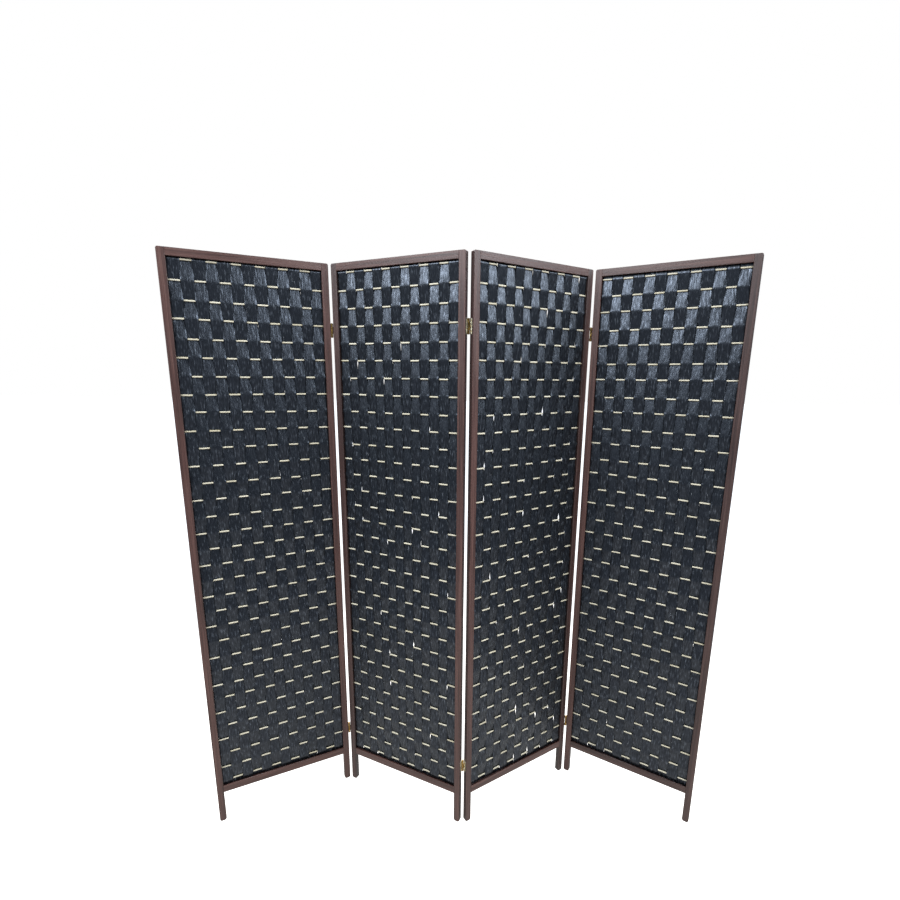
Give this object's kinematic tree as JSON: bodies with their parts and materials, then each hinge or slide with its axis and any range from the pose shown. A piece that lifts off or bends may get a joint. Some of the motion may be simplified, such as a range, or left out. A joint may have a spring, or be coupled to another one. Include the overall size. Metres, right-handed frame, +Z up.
{
  "type": "folding screen",
  "caption": "Free-standing folding room divider: dark wood frames filled with black woven bands over pale sticks, joined edge to edge by small brass butt hinges.",
  "frame": {"origin": "middle of the footprint of the standing zigzag, on the floor", "axes": "+X along the screen to the right as seen from the front, +Y from its front to its back, +Z up"},
  "size_m": [1.6026, 0.2988, 1.8],
  "materials": {
    "frame_wood": "dark reddish-brown stain",
    "stick_wood": "pale bare wood",
    "band_fibre": "black paper fibre",
    "hinge_brass": "dull plated brass"
  },
  "bodies": {
    "panel_1": {"panel_1_left_stile": "frame_wood", "panel_1_right_stile": "frame_wood", "panel_1_top_rail": "frame_wood", "panel_1_bottom_rail": "frame_wood", "panel_1_splines": "frame_wood", "panel_1_sticks": "stick_wood", "panel_1_bands": "band_fibre", "fold_1_2_upper_left_leaf": "hinge_brass", "fold_1_2_upper_pin": "hinge_brass", "fold_1_2_lower_left_leaf": "hinge_brass", "fold_1_2_lower_pin": "hinge_brass"},
    "panel_2": {"panel_2_left_stile": "frame_wood", "panel_2_right_stile": "frame_wood", "panel_2_top_rail": "frame_wood", "panel_2_bottom_rail": "frame_wood", "panel_2_splines": "frame_wood", "panel_2_sticks": "stick_wood", "panel_2_bands": "band_fibre", "fold_1_2_upper_right_leaf": "hinge_brass", "fold_1_2_lower_right_leaf": "hinge_brass", "fold_2_3_upper_left_leaf": "hinge_brass", "fold_2_3_upper_pin": "hinge_brass", "fold_2_3_lower_left_leaf": "hinge_brass", "fold_2_3_lower_pin": "hinge_brass"},
    "panel_3": {"panel_3_left_stile": "frame_wood", "panel_3_right_stile": "frame_wood", "panel_3_top_rail": "frame_wood", "panel_3_bottom_rail": "frame_wood", "panel_3_splines": "frame_wood", "panel_3_sticks": "stick_wood", "panel_3_bands": "band_fibre", "fold_2_3_upper_right_leaf": "hinge_brass", "fold_2_3_lower_right_leaf": "hinge_brass", "fold_3_4_upper_left_leaf": "hinge_brass", "fold_3_4_upper_pin": "hinge_brass", "fold_3_4_lower_left_leaf": "hinge_brass", "fold_3_4_lower_pin": "hinge_brass"},
    "panel_4": {"panel_4_left_stile": "frame_wood", "panel_4_right_stile": "frame_wood", "panel_4_top_rail": "frame_wood", "panel_4_bottom_rail": "frame_wood", "panel_4_splines": "frame_wood", "panel_4_sticks": "stick_wood", "panel_4_bands": "band_fibre", "fold_3_4_upper_right_leaf": "hinge_brass", "fold_3_4_lower_right_leaf": "hinge_brass"}
  },
  "joints": [
    {"name": "fold_1_2", "type": "hinge", "parent": "panel_2", "child": "panel_1", "pos_m": [-0.39714, 0.06549, 0.9], "axis": [0, 0, 1], "range_deg": [-53.45, 126.55]},
    {"name": "fold_2_3", "type": "hinge", "parent": "panel_2", "child": "panel_3", "pos_m": [0.02296, -0.10769, 0.9], "axis": [0, 0, 1], "range_deg": [-59.63, 120.37]},
    {"name": "fold_3_4", "type": "hinge", "parent": "panel_3", "child": "panel_4", "pos_m": [0.40648, 0.13601, 0.9], "axis": [0, 0, 1], "range_deg": [-113.97, 66.03]}
  ]
}
